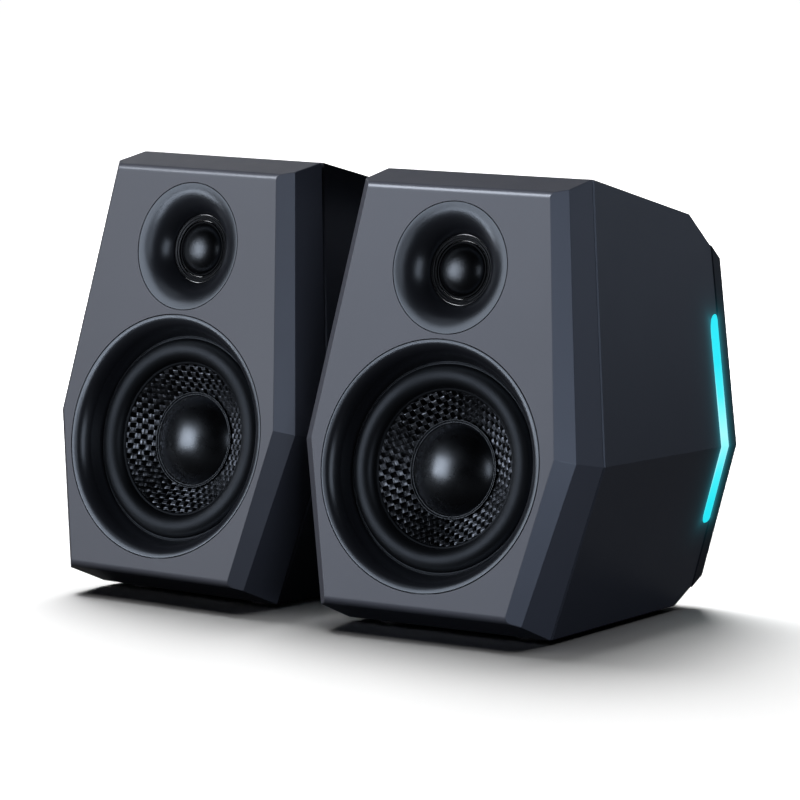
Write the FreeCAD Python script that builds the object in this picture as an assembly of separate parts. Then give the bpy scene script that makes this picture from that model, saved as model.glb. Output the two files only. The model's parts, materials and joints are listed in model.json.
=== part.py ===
"""A pair of faceted two-way desktop speakers, drawn as the separate pieces they come apart into.

Each cabinet is a six-sided shell, narrow at the top and bottom and widest at a ridge that runs round it
a third of the way up. Its baffle leans back and carries a horn-loaded dome tweeter over a woven-cone woofer.
The right speaker holds the amplifier, the controls and the sockets; the left one is passive.

Units are millimetres. Three frames are used:
  driver frame   the Y axis is the driver's own axis and points into the cabinet, y = 0 is the baffle's face
  cabinet frame  X across, Y to the back, Z up from the desk, and the woofer's axis meets the baffle at x = y = 0
  pair frame     the frame of the written files: Z up, origin on the desk under the middle of the pair
"""

import FreeCAD
import Part
import os
from math import cos, pi, radians, sin, tan

V = FreeCAD.Vector

# ---------------------------------------------------------------- the cabinet
BAFFLE_LEAN = 10.0          # degrees that the baffle leans back
FOOT_STANDS_OUT = 2.0       # the feet hold the underside this far off the desk
WOOFER_Z = 62.3 + FOOT_STANDS_OUT
TWEETER_ABOVE_WOOFER = 73.2
WALL = 2.6
SEAM_GAP = 1.1

# Corners on the right-hand side, as (half width, depth behind the baffle face, height up the baffle).
FACE_TOP = (39.1, 0.0, 102.8)
FACE_RIDGE = (52.4, 0.0, 6.6)
FACE_FOOT = (38.6, 0.0, -53.8)
BEVEL_RIDGE = (58.4, 6.2, 5.9)
SEAM_TOP = (44.2, 20.7, 110.5)
SEAM_RIDGE = (59.7, 24.2, 6.1)
SEAM_FOOT = (43.9, 26.3, -58.7)

# Corners behind the seam, as (half width, depth, height above the woofer) in the cabinet's upright frame.
SHOULDER = (44.6, 112.7, 88.1)
BACK_TOP = (46.6, 133.7, 69.7)
BACK_RIDGE = (56.9, 130.9, -0.7)
BACK_FOOT = (44.2, 129.1, -52.0)
HEEL = (42.0, 112.1, -62.3)
COVER_DEPTH = 6.2           # thickness of the rear cover, front to back
COVER_PROUD = 0.35          # the rear cover stands this far outside the housing
SPIGOT_THICK = 1.9          # the rear cover's rim that fits inside the housing

BROW_ROUND = 3.0            # radius along the top and bottom of the baffle
EDGE_ROUND = 0.45
SEAM_CHAMFER = 0.5

# ---------------------------------------------------------------- the pair on the desk
LEFT_TURN = -5.0            # degrees that the left speaker is turned about the vertical
LEFT_ACROSS = -126.0        # from the right woofer's centre to the left one's
LEFT_BACK = 10.7

# ---------------------------------------------------------------- the woofer
WOOFER_HOLE = 47.0
TRIM_R = 46.75
TRIM_CREASE_R = 41.4        # the lip rolls in to this radius, and a steep wall runs on from there
TRIM_CREASE_DEPTH = 5.4
TRIM_THROAT_R = 39.5
TRIM_DEPTH = 10.2
CONE_R = 29.5
CONE_FRONT = 10.9
CONE_NECK_R = 12.8
CONE_NECK_DEPTH = 21.3
CAP_RIM_R = 18.5
CAP_R = 17.3
CAP_RIM_DEPTH = 17.25
CAP_HEIGHT = 6.2
SKIN = 0.5
BASKET_FRONT = 11.0
SHEET = 1.2
MOTOR_FRONT = 28.2
POLE_R = 12.2
SCREW_CIRCLE_R = 52.0
SCREW_ANGLES = (45, 135, 225, 315)

# ---------------------------------------------------------------- the tweeter
HORN_HOLE = 24.7
HORN_R = 24.45
HORN_THROAT_R = 13.2
HORN_DEPTH = 8.2
DOME_R = 9.6
DOME_BASE = 9.0
DOME_HEIGHT = 4.2
HORN_EAR_X = 31.0

# ---------------------------------------------------------------- the back
PORT_Z = 105.0
PORT_R = 13.0
PORT_FLARE_R = 18.0
PORT_LENGTH = 56.0
PANEL_Y = 126.6             # the sockets and controls sit on an upright panel, let into the cover
PANEL_FLOOR = 2.4
ACTIVE_PANEL = (33.0, 22.0, 86.0)
PASSIVE_PANEL = (15.0, 26.0, 52.0)
COVER_SCREWS = ((42.0, 122.0), (50.6, 63.6), (40.8, 25.0))
SOCKET_Z = 36.0
KNOB_Z = 70.0
KNOB_R = 9.5
SHAFT_R = 2.4
BUTTON_X = 22.0
BUTTON_R = 3.6

# ---------------------------------------------------------------- small parts
SCREW_POST_R = 4.0
SHANK_R = 1.45
SHANK_HOLE_R = 1.5
HEAD_R = 2.8
HEAD_H = 2.0
FOOT_R = 7.0
FOOT_HIGH = 3.0
FOOT_PLACES = ((30.0, 28.0), (29.0, 100.0))
BIG = 1200.0

LEAN = radians(BAFFLE_LEAN)


# ================================================================ helpers
def from_baffle(across, depth, up):
    """A point given on the baffle, in the cabinet frame."""
    return V(across, depth * cos(LEAN) + up * sin(LEAN), up * cos(LEAN) - depth * sin(LEAN) + WOOFER_Z)


def from_upright(across, depth, up):
    return V(across, depth, up + WOOFER_Z)


def mirrored(point):
    return V(-point.x, point.y, point.z)


def plane_through(a, b, c):
    """(point, outward normal) of the plane through three points, outward being away from the cabinet's middle."""
    normal = (b - a).cross(c - a)
    normal.normalize()
    middle = V(0, 60, 80)
    return (a, normal) if normal.dot(a - middle) > 0 else (a, -normal)


def level_plane(a, b):
    """The plane through two points of the middle section that runs straight across the cabinet."""
    return plane_through(a, b, b + V(10, 0, 0))


def beyond(plane, shift=0.0):
    """Everything outside a plane, once it has been moved outwards by shift."""
    point, normal = plane
    block = Part.makeBox(BIG, BIG, BIG, V(-BIG / 2, -BIG / 2, 0))
    block.Placement = FreeCAD.Placement(point + normal * shift, FreeCAD.Rotation(V(0, 0, 1), normal))
    return block


def trimmed(solid, planes, shift=0.0):
    for plane in planes:
        solid = solid.cut(beyond(plane, shift))
    return solid


def block_about_cabinet():
    size = BIG / 3
    return Part.makeBox(size, size, size, V(-size / 2, -size / 2 + 60, -size / 2 + 80))


def box(x0, x1, y0, y1, z0, z1):
    return Part.makeBox(x1 - x0, y1 - y0, z1 - z0, V(x0, y0, z0))


def rod(radius, start, direction, length):
    return Part.makeCylinder(radius, length, start, direction)


def along_y(radius, x, z, y0, y1):
    return rod(radius, V(x, y0, z), V(0, 1, 0), y1 - y0)


def fused(shapes):
    shapes = list(shapes)
    whole = shapes[0].fuse(shapes[1:]) if len(shapes) > 1 else shapes[0]
    return whole.removeSplitter()


def turned(*profile):
    """A solid of revolution about the Y axis. The profile is a list of (radius, depth) points; a tuple of three
    such points instead of one draws a cubic curve to the last of them."""
    first = profile[0]
    here = first
    edges = []
    for step in list(profile[1:]) + [first]:
        if isinstance(step[0], tuple):
            curve = Part.BezierCurve()
            curve.setPoles([V(r, d, 0) for r, d in (here,) + step])
            edges.append(curve.toShape())
            here = step[-1]
        elif step != here:
            edges.append(Part.LineSegment(V(here[0], here[1], 0), V(step[0], step[1], 0)).toShape())
            here = step
    face = Part.Face(Part.Wire(edges))
    return face.revolve(V(0, 0, 0), V(0, 1, 0), 360)


def ring(inner, outer, front, back):
    if inner <= 0:
        return turned((0, front), (outer, front), (outer, back), (0, back))
    return turned((inner, front), (outer, front), (outer, back), (inner, back))


def screw(tip_length):
    """A pan-head screw along Y: the head's underside is at y = 0 and the shank runs towards -Y."""
    head = turned((0, 0), (HEAD_R, 0), ((HEAD_R, HEAD_H * 0.7), (HEAD_R * 0.7, HEAD_H), (HEAD_R * 0.5, HEAD_H)),
                  (0, HEAD_H))
    shank = turned((0, 0), (0, -tip_length), (SHANK_R * 0.4, -tip_length), (SHANK_R, -tip_length + 1.5),
                   (SHANK_R, 0))
    slots = [box(-HEAD_R * 0.6, HEAD_R * 0.6, HEAD_H * 0.45, HEAD_H + 1, -0.3, 0.3),
             box(-0.3, 0.3, HEAD_H * 0.45, HEAD_H + 1, -HEAD_R * 0.6, HEAD_R * 0.6)]
    return head.fuse(shank).removeSplitter().cut(fused(slots))


def moved(shape, offset):
    copy = shape.copy()
    copy.translate(offset)
    return copy


def at_driver(shape, up):
    """Puts a shape made in the driver frame on the baffle, up above the woofer's centre."""
    copy = shape.copy()
    lean = FreeCAD.Placement(from_baffle(0, 0, up), FreeCAD.Rotation(V(1, 0, 0), -BAFFLE_LEAN))
    copy.Placement = lean.multiply(copy.Placement)
    return copy


def rounded_edges(solid, radius, wanted):
    edges = [e for e in solid.Edges if wanted(e)]
    return solid.makeFillet(radius, edges) if edges else solid


def compound(*solids):
    return Part.makeCompound(list(solids))


# ================================================================ the cabinet's planes
def both_sides(*points):
    return [plane_through(*points), plane_through(*[mirrored(p) for p in points])]


def cabinet_planes():
    face_top, face_ridge, face_foot = (from_baffle(*p) for p in (FACE_TOP, FACE_RIDGE, FACE_FOOT))
    bevel_ridge = from_baffle(*BEVEL_RIDGE)
    seam_top, seam_ridge, seam_foot = (from_baffle(*p) for p in (SEAM_TOP, SEAM_RIDGE, SEAM_FOOT))
    shoulder, back_top, back_ridge, back_foot, heel = (
        from_upright(*p) for p in (SHOULDER, BACK_TOP, BACK_RIDGE, BACK_FOOT, HEEL))
    front = [level_plane(face_top, face_foot)]
    brow = [level_plane(face_top, seam_top)]
    chin = [level_plane(face_foot, seam_foot)]
    bevels = both_sides(face_top, face_ridge, bevel_ridge) + both_sides(face_foot, face_ridge, bevel_ridge)
    flanks = both_sides(seam_top, seam_ridge, bevel_ridge) + both_sides(seam_foot, seam_ridge, bevel_ridge)
    sides = both_sides(seam_top, seam_ridge, back_ridge) + both_sides(seam_foot, seam_ridge, back_ridge)
    roof = [level_plane(seam_top, shoulder), level_plane(shoulder, back_top)]
    underside = [level_plane(seam_foot, heel), level_plane(heel, back_foot)]
    back = [level_plane(back_top, back_foot)]
    seam_point, seam_normal = level_plane(seam_top, seam_foot)
    rear_point = back[0][0] - back[0][1] * COVER_DEPTH
    return {
        "bezel": front + brow + chin + bevels + flanks,
        "housing": sides + roof + underside,
        "back": back,
        "seam": (seam_point, seam_normal if seam_normal.y > 0 else -seam_normal),
        "rear_seam": (rear_point, back[0][1]),
    }


PLANES = cabinet_planes()


def flipped(plane):
    return plane[0], -plane[1]


def slice_between(planes, inset, front_plane, front_shift, back_plane, back_shift):
    """The solid inside the planes moved in by inset, behind one plane and in front of another."""
    solid = trimmed(block_about_cabinet(), planes, -inset)
    if front_plane:
        solid = solid.cut(beyond(flipped(front_plane), -front_shift))
    if back_plane:
        solid = solid.cut(beyond(back_plane, back_shift))
    return solid


# ================================================================ shells
def straight_across(edge):
    a, b = edge.Vertexes[0].Point, edge.Vertexes[-1].Point
    return abs(a.y - b.y) < 0.01 and abs(a.z - b.z) < 0.01


def near_plane(point, plane, distance):
    return abs((point - plane[0]).dot(plane[1])) < distance


def bezel_envelope():
    solid = slice_between(PLANES["bezel"], 0, None, 0, PLANES["seam"], -SEAM_GAP / 2)
    front = PLANES["bezel"][0]

    def brow_or_chin(edge):
        return straight_across(edge) and near_plane(edge.CenterOfMass, front, 0.1)

    solid = rounded_edges(solid, BROW_ROUND, brow_or_chin)
    rear = (PLANES["seam"][0] - PLANES["seam"][1] * SEAM_GAP / 2, PLANES["seam"][1])

    def crisp(edge):
        ends = [v.Point for v in edge.Vertexes]
        return len(ends) == 2 and edge.Length > 1 and not all(near_plane(p, rear, 0.05) for p in ends)

    def straight_facet_edge(edge):
        return crisp(edge) and isinstance(edge.Curve, Part.Line) and not straight_across(edge)

    return rounded_edges(solid, EDGE_ROUND, straight_facet_edge)


def driver_posts():
    """Posts inside the bezel that the woofer and the tweeter's horn are screwed to, in the cabinet frame."""
    posts, holes = [], []
    for angle in SCREW_ANGLES:
        x, up = SCREW_CIRCLE_R * cos(radians(angle)), SCREW_CIRCLE_R * sin(radians(angle))
        posts.append(at_driver(along_y(3.2, x, up, 1.5, BASKET_FRONT), 0))
        holes.append(at_driver(along_y(SHANK_HOLE_R, x, up, 3.2, BASKET_FRONT + 1), 0))
    for x in (-HORN_EAR_X, HORN_EAR_X):
        posts.append(at_driver(along_y(3.2, x, 0, 1.5, 5.6), TWEETER_ABOVE_WOOFER))
        holes.append(at_driver(along_y(SHANK_HOLE_R, x, 0, 1.9, 6.6), TWEETER_ABOVE_WOOFER))
    return posts, holes


def front_bezel():
    seam = PLANES["seam"]
    shell = bezel_envelope()
    shell = shell.cut(slice_between(PLANES["bezel"], WALL, None, 0, seam, 5))
    root = slice_between(PLANES["bezel"], WALL - 0.4, seam, -5.0, seam, -SEAM_GAP / 2)
    tongue = slice_between(PLANES["housing"], WALL + 0.25, seam, -SEAM_GAP, seam, 4.0)
    bore = slice_between(PLANES["housing"], WALL + 2.0, seam, -8.0, seam, 8.0)
    shell = fused([shell, root.cut(bore), tongue.cut(bore)])
    posts, holes = driver_posts()
    openings = [at_driver(ring(0, WOOFER_HOLE, -5, 5), 0),
                at_driver(ring(0, HORN_HOLE, -5, 5), TWEETER_ABOVE_WOOFER)]
    return fused([shell] + posts).cut(fused(openings)).cut(compound(*holes))


def light_bar_profile(gap):
    """The outline of a light bar seen from the side, as a solid right across the cabinet."""
    rear_y = 124.7
    lean = 0.035
    width = 6.3 - gap
    top, foot = 49.5 - gap, -30.5 + gap
    corner = 4.6

    def at(up, forward):
        return V(-BIG / 2, rear_y - gap + up * lean - forward, up + WOOFER_Z)

    def curve(*poles):
        bezier = Part.BezierCurve()
        bezier.setPoles(list(poles))
        return bezier.toShape()

    edges = [
        Part.LineSegment(at(foot + 2.0, 0), at(top - 2.0, 0)).toShape(),
        curve(at(top - 2.0, 0), at(top, 0.3), at(top, 1.4)),
        curve(at(top, 1.4), at(top, width), at(top - corner * 1.6, width)),
        Part.LineSegment(at(top - corner * 1.6, width), at(foot + corner, width)).toShape(),
        curve(at(foot + corner, width), at(foot, width), at(foot, width * 0.5)),
        curve(at(foot, width * 0.5), at(foot, 0), at(foot + 2.0, 0)),
    ]
    return Part.Face(Part.Wire(edges)).extrude(V(BIG, 0, 0))


def cover_screw_places():
    return [(side * x, z) for x, z in COVER_SCREWS for side in (-1, 1)]


def chamfer_plane(plane, mouth, size):
    """The plane that takes the corner off between one outer plane and the mouth of the housing."""
    point, normal = plane
    start, inward = mouth
    along = inward - normal * inward.dot(normal)
    corner = point + along * ((start - point).dot(inward) / along.dot(inward))
    outward = (normal - inward).normalize()
    return corner - outward * (size * sin(pi / 4)), outward


def housing():
    seam, rear = PLANES["seam"], PLANES["rear_seam"]
    solid = slice_between(PLANES["housing"], 0, seam, SEAM_GAP / 2, rear, -SEAM_GAP / 2)

    def long_edge(edge):
        ends = [v.Point for v in edge.Vertexes]
        at_seams = [near_plane(p, seam, 0.6) or near_plane(p, rear, 0.6) for p in ends]
        return len(ends) == 2 and not (all(at_seams) and near_plane(edge.CenterOfMass, seam, 0.6)) and not (
            all(at_seams) and near_plane(edge.CenterOfMass, rear, 0.6))

    solid = rounded_edges(solid, EDGE_ROUND, long_edge)
    mouth = (seam[0] + seam[1] * SEAM_GAP / 2, seam[1])
    solid = trimmed(solid, [chamfer_plane(plane, mouth, SEAM_CHAMFER) for plane in PLANES["housing"]])
    hollow = slice_between(PLANES["housing"], WALL, seam, -5, rear, 5)
    skin = solid
    shell = solid.cut(hollow)
    posts = []
    for x, z in cover_screw_places():
        posts.append(along_y(SCREW_POST_R, x, z, 104.0, 140.0))
        posts.append(box(min(x, 2 * x), max(x, 2 * x), 104.0, 140.0, z - 1.2, z + 1.2))
    posts = skin.common(fused(posts))
    holes = [along_y(SHANK_HOLE_R, x, z, 110.0, 140.0) for x, z in cover_screw_places()]
    foot_seats = [rod(FOOT_R + 0.1, V(x, y, 0), V(0, 0, 1), FOOT_HIGH) for x, y in foot_places()]
    shell = fused([shell, posts]).cut(compound(*holes)).cut(compound(*foot_seats))
    bar_slots = light_bar_profile(0.0).cut(box(-30, 30, -BIG, BIG, -BIG, BIG))
    return shell.cut(bar_slots)


def light_bars():
    """Both bars: clear plastic, flush with the housing and as thick as its wall."""
    outer = trimmed(block_about_cabinet(), PLANES["housing"], 0.05)
    inner = trimmed(block_about_cabinet(), PLANES["housing"], -(WALL - 0.3))
    bars = outer.cut(inner).common(light_bar_profile(0.12))
    return compound(*bars.Solids)


def led_strips():
    """A flexible circuit behind each bar, bent round the ridge, with its light emitters in a row."""
    outer = trimmed(block_about_cabinet(), PLANES["housing"], -(WALL + 0.1))
    inner = trimmed(block_about_cabinet(), PLANES["housing"], -(WALL + 0.5))
    band = box(-BIG / 2, BIG / 2, 119.5, 122.6, WOOFER_Z - 26, WOOFER_Z + 44)
    return compound(*outer.cut(inner).common(band).Solids)


def rear_cover(active):
    rear = PLANES["rear_seam"]
    around = [(p, n) for p, n in PLANES["housing"]]
    outer = trimmed(block_about_cabinet(), around, COVER_PROUD)
    outer = trimmed(outer, PLANES["back"])
    solid = outer.cut(beyond(flipped(rear), 0.0))

    def outline_edge(edge):
        ends = [v.Point for v in edge.Vertexes]
        return len(ends) == 2 and not all(near_plane(p, rear, 0.05) for p in ends)

    skin = rounded_edges(solid, 0.7, outline_edge)
    inside = trimmed(trimmed(block_about_cabinet(), around, -WALL), PLANES["back"], -WALL)
    shell = skin.cut(inside)
    bore = slice_between(around, WALL + SPIGOT_THICK, rear, -9.0, rear, 9.0)
    root = slice_between(around, WALL - 0.5, rear, 0.0, rear, 2.0).cut(bore)
    spigot = slice_between(around, WALL + 0.25, rear, -4.0, rear, 0.5).cut(bore)
    spigot = spigot.cut(compound(*[along_y(4.4, x, z, 90, 127) for x, z in cover_screw_places()]))
    spigot = spigot.cut(box(-BIG / 2, BIG / 2, 100, 126.5, WOOFER_Z - 32, WOOFER_Z + 51))
    half_width, low, high = ACTIVE_PANEL if active else PASSIVE_PANEL
    pan = box(-half_width - 2, half_width + 2, PANEL_Y - PANEL_FLOOR, 150, low - 2, high + 2).common(skin)
    bosses = compound(*[along_y(SCREW_POST_R, x, z, 100, 150) for x, z in cover_screw_places()]).common(skin)
    flare_seat = along_y(PORT_FLARE_R + 2.0, 0, PORT_Z, 100, 150).common(skin)
    whole = fused([shell, root, spigot, pan, bosses, flare_seat])
    pocket = box(-half_width, half_width, PANEL_Y, 150, low, high)
    pocket = rounded_edges(pocket, 3.0, lambda e: abs(e.tangentAt(e.FirstParameter).y) > 0.99)
    whole = whole.cut(pocket)
    cuts = [along_y(PORT_FLARE_R, 0, PORT_Z, 90, 150)]
    for x, z in cover_screw_places():
        cuts.append(along_y(1.7, x, z, 90, 150))
        head_seat = from_back(x, z, 3.4)
        cuts.append(along_y(3.3, x, z, head_seat, 150))
    for hole in (active_panel_holes() if active else passive_panel_holes()):
        cuts.append(hole)
    for cut in cuts:
        whole = whole.cut(cut)
    return whole


def from_back(x, z, depth):
    """The y of a point this far in front of the cover's back face, at a height."""
    point, normal = PLANES["back"][0]
    return point.y - (z - point.z) * normal.z / normal.y - depth


def port_tube():
    """The bass port: a flared mouth flush with the back and a straight tube running forward."""
    mouth = 0.0
    tube = turned(
        (PORT_FLARE_R - 0.1, mouth), ((PORT_R + 1.5, mouth), (PORT_R, 2.0), (PORT_R, 8.0)), (PORT_R, PORT_LENGTH),
        (PORT_R + 2.0, PORT_LENGTH), (PORT_R + 2.0, 9.0), (PORT_FLARE_R - 0.1, 2.6))
    tube.rotate(V(0, 0, 0), V(1, 0, 0), 180)
    tube.translate(V(0, from_back(0, PORT_Z, 0.8), PORT_Z))
    return tube


# ================================================================ the woofer
def trim_ring():
    """The lip round the woofer, flush with the baffle at its rim, that rolls in to a crease and a steep wall."""
    return at_driver(turned(
        (TRIM_R, 0.3), ((TRIM_R, 0.12), (TRIM_R - 0.12, 0.0), (TRIM_R - 0.3, 0.0)),
        ((TRIM_R - 2.6, 0.1), (42.3, 2.2), (TRIM_CREASE_R, TRIM_CREASE_DEPTH)), (TRIM_THROAT_R, TRIM_DEPTH),
        (42.2, TRIM_DEPTH), (42.2, 8.2), (45.0, WALL + 1.6), (47.8, WALL + 1.6), (47.8, WALL + 0.1),
        (TRIM_R, WALL + 0.1)), 0)


def woofer_surround():
    """A half-roll of rubber from the basket's flange in to the cone's edge."""
    lip = BASKET_FRONT - 0.05
    return at_driver(turned(
        (41.8, TRIM_DEPTH + 0.05), (41.8, lip), (36.2, lip),
        ((35.8, 7.6), (30.6, 7.6), (30.2, lip + 0.3)), (29.6, lip + 0.3), (29.6, TRIM_DEPTH + 0.05),
        ((30.2, 6.4), (36.4, 6.4), (36.9, TRIM_DEPTH + 0.05))), 0)


def cone_depth(radius):
    """Depth of the cone's front surface at a radius."""
    share = (CONE_R - radius) / (CONE_R - CONE_NECK_R)
    return CONE_FRONT + share * (CONE_NECK_DEPTH - CONE_FRONT)


def woofer_cone():
    return at_driver(turned(
        (CONE_R, CONE_FRONT), (CONE_R, CONE_FRONT + SKIN), (CONE_NECK_R, CONE_NECK_DEPTH + SKIN),
        (CONE_NECK_R, CONE_NECK_DEPTH)), 0)


def woofer_dust_cap():
    """A smooth dome with a flat rim that is glued to the cone."""
    rim, top = CAP_RIM_DEPTH, CAP_RIM_DEPTH - CAP_HEIGHT
    return at_driver(turned(
        (0, top), ((7.4, top), (13.4, rim - 3.4), (CAP_R, rim)), (CAP_RIM_R, rim), (CAP_RIM_R, rim + SKIN),
        (CAP_R - 0.4, rim + SKIN), ((13.0, rim - 2.7), (7.2, top + SKIN), (0, top + SKIN))), 0)


def woofer_voice_coil():
    former = ring(12.55, 12.8, CONE_NECK_DEPTH - 0.9, 36.0)
    winding = ring(12.85, 13.3, 25.7, 34.7)
    return at_driver(compound(former, winding), 0)


def woofer_spider():
    """A corrugated fabric disc that centres the coil."""
    waves, depth, half_thick, mid = 4, 0.45, 0.2, 24.65
    inner, waves_end, outer = 12.9, 26.6, 30.0
    step = (waves_end - inner) / (2 * waves)
    front, back = [], []
    for i in range(2 * waves + 1):
        radius = inner + i * step
        rise = 0 if i in (0, 2 * waves) else depth * (1 if i % 2 else -1)
        front.append((radius, mid - half_thick + rise))
        back.append((radius, mid + half_thick + rise))
    front.append((outer, mid - half_thick))
    back.append((outer, mid + half_thick))
    return at_driver(turned(*(front + back[::-1])), 0)


def woofer_basket():
    """The pressed-steel frame, with a screwed flange, six windows, a shelf for the spider and a motor seat."""
    front = BASKET_FRONT
    body = turned(
        (36.4, front), (42.2, front), (42.2, front + SHEET), (39.4, front + SHEET), (31.4, 25.5), (31.4, 28.2),
        (15.5, 28.2), (15.5, 27.0), (27.2, 27.0), (27.2, 24.9), (30.2, 24.9), (37.6, front + SHEET),
        (36.4, front + SHEET))
    ears, holes = [], []
    for angle in SCREW_ANGLES:
        ear = box(40.5, SCREW_CIRCLE_R, front, front + SHEET, -4.2, 4.2)
        tip = along_y(4.2, SCREW_CIRCLE_R, 0, front, front + SHEET)
        ear = fused([ear, tip])
        ear.rotate(V(0, 0, 0), V(0, 1, 0), -angle)
        ears.append(ear)
        x, up = SCREW_CIRCLE_R * cos(radians(angle)), SCREW_CIRCLE_R * sin(radians(angle))
        holes.append(along_y(1.7, x, up, front - 1, front + SHEET + 1))
    windows = []
    for i in range(6):
        window = box(20, 45, 14.2, 23.6, -9.0, 9.0)
        window.rotate(V(0, 0, 0), V(0, 1, 0), 60 * i)
        windows.append(window)
    body = body.cut(compound(*windows))
    body = fused([body] + ears)
    return at_driver(body.cut(compound(*holes)), 0)


def woofer_top_plate():
    return at_driver(ring(13.6, 22.0, MOTOR_FRONT, MOTOR_FRONT + 4.0), 0)


def woofer_magnet():
    return at_driver(ring(15.5, 25.0, MOTOR_FRONT + 4.0, MOTOR_FRONT + 14.0), 0)


def woofer_yoke():
    """The back plate and pole piece in one turned part, with a vent through the middle."""
    front, seat, back = MOTOR_FRONT, MOTOR_FRONT + 14.0, MOTOR_FRONT + 18.0
    return at_driver(turned(
        (3.0, front), (POLE_R, front), (POLE_R, seat), (22.0, seat), (22.0, back - 1.0), (21.0, back), (3.0, back)), 0)


# ================================================================ the tweeter
def tweeter_horn():
    """A shallow round horn with a rolled rim and two ears that are screwed behind the baffle."""
    bell = turned(
        (HORN_R, 0.3), ((HORN_R, 0.12), (HORN_R - 0.05, 0.03), (HORN_R - 0.2, 0.03)),
        ((20.4, 0.25), (15.4, 2.5), (HORN_THROAT_R, HORN_DEPTH)), (HORN_THROAT_R, HORN_DEPTH + 0.8),
        (17.0, HORN_DEPTH + 0.8), (17.0, 6.6), (22.4, WALL + 1.5), (25.0, WALL + 1.5), (25.0, WALL + 0.1),
        (HORN_R, WALL + 0.1))
    ears = [box(-HORN_EAR_X, HORN_EAR_X, 5.6, 7.4, -4.0, 4.0),
            along_y(4.0, HORN_EAR_X, 0, 5.6, 7.4), along_y(4.0, -HORN_EAR_X, 0, 5.6, 7.4)]
    ears = fused(ears).cut(ring(0, 17.0 - 0.3, 4, 9))
    whole = fused([bell, ears])
    for x in (-HORN_EAR_X, HORN_EAR_X):
        whole = whole.cut(along_y(1.7, x, 0, 4, 9))
    return at_driver(whole, TWEETER_ABOVE_WOOFER)


def tweeter_ring():
    """The ring that clamps the dome's edge, with two fine raised lines."""
    front = HORN_DEPTH
    return at_driver(turned(
        (10.9, front + 0.2), (11.35, front + 0.2), (11.55, front - 0.1), (11.75, front + 0.2), (12.55, front + 0.2),
        (12.7, front), (12.85, front + 0.2), (13.0, front + 0.2), (13.0, front + 0.8), (10.9, front + 0.8)),
        TWEETER_ABOVE_WOOFER)


def tweeter_dome():
    """The soft dome and its narrow roll."""
    top = DOME_BASE - DOME_HEIGHT
    return at_driver(turned(
        (0, top), ((5.6, top), (8.7, DOME_BASE - 2.1), (DOME_R, DOME_BASE)),
        ((DOME_R + 0.3, DOME_BASE - 0.5), (10.5, DOME_BASE - 0.5), (10.7, DOME_BASE + 0.05)),
        (10.7, DOME_BASE + 0.3), (DOME_R - 0.2, DOME_BASE + 0.3),
        ((8.4, DOME_BASE - 1.8), (5.4, top + 0.3), (0, top + 0.3))), TWEETER_ABOVE_WOOFER)


def tweeter_voice_coil():
    return at_driver(ring(9.3, 9.55, DOME_BASE + 0.35, DOME_BASE + 4.5), TWEETER_ABOVE_WOOFER)


def tweeter_motor():
    """A steel cup, a disc magnet and a pole plate, with the coil's gap between plate and cup."""
    back = 22.0
    rim = HORN_DEPTH + 0.85
    cup = turned((9.9, 9.9), (11.0, 9.9), (11.0, rim), (15.0, rim), (15.0, back), (0, back), (0, back - 2.0),
                 (9.9, back - 2.0))
    disc = ring(0, 8.4, 13.4, back - 2.0)
    plate = ring(0, 8.95, 11.4, 13.4)
    return at_driver(compound(cup, disc, plate), TWEETER_ABOVE_WOOFER)


def driver_screws():
    fitted = []
    for angle in SCREW_ANGLES:
        x, up = SCREW_CIRCLE_R * cos(radians(angle)), SCREW_CIRCLE_R * sin(radians(angle))
        fitted.append(at_driver(moved(screw(7.4), V(x, BASKET_FRONT + SHEET, up)), 0))
    for x in (-HORN_EAR_X, HORN_EAR_X):
        fitted.append(at_driver(moved(screw(5.2), V(x, 7.4, 0)), TWEETER_ABOVE_WOOFER))
    return compound(*fitted)


def cover_screws():
    return compound(*[moved(screw(14.0), V(x, from_back(x, z, 3.4), z)) for x, z in cover_screw_places()])


# ================================================================ feet
def foot_places():
    return [(side * x, y) for x, y in FOOT_PLACES for side in (-1, 1)]


def feet():
    pad = turned((0, 0), (FOOT_R - 0.8, 0), ((FOOT_R - 0.3, 0), (FOOT_R, 0.3), (FOOT_R, 0.8)),
                 (FOOT_R, FOOT_HIGH), (0, FOOT_HIGH))
    pad.rotate(V(0, 0, 0), V(1, 0, 0), 90)
    return compound(*[moved(pad, V(x, y, 0)) for x, y in foot_places()])


# ================================================================ the active speaker's electronics
BOARD_FRONT = 62.0
BOARD_TOP = 30.0
BOARD_THICK = 1.6
AUDIO_JACK_X = (13.0, 24.5)
DC_JACK_X = -24.0
LINK_X = -10.0
USB_X = 2.5


def amplifier_board():
    board = box(-34, 34, BOARD_FRONT, PANEL_Y - PANEL_FLOOR - 0.4, BOARD_TOP - BOARD_THICK, BOARD_TOP)
    floor = FOOT_STANDS_OUT + WALL + 0.05
    legs = [rod(2.6, V(x, y, floor), V(0, 0, 1), BOARD_TOP - BOARD_THICK - floor) for x in (-30, 30) for y in (68, 108)]
    chips = [box(-8, 2, 96, 106, BOARD_TOP, BOARD_TOP + 1.4), box(10, 17, 88, 95, BOARD_TOP, BOARD_TOP + 1.2)]
    cans = [rod(r, V(x, y, BOARD_TOP), V(0, 0, 1), h)
            for x, y, r, h in ((-24, 72, 5.0, 13.0), (-12, 70, 5.0, 13.0), (27, 74, 4.0, 9.0), (24, 100, 3.0, 7.0))]
    return fused([board] + legs + chips + cans)


def heat_sink():
    base = box(-6, 20, 76, 80, BOARD_TOP + 0.05, BOARD_TOP + 22)
    fins = [box(-6 + 4.0 * i, -4.6 + 4.0 * i, 79.9, 86, BOARD_TOP + 2.0, BOARD_TOP + 22) for i in range(7)]
    return fused([base] + [fin.common(box(-6, 20, 0, 200, 0, 200)) for fin in fins])


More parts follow.
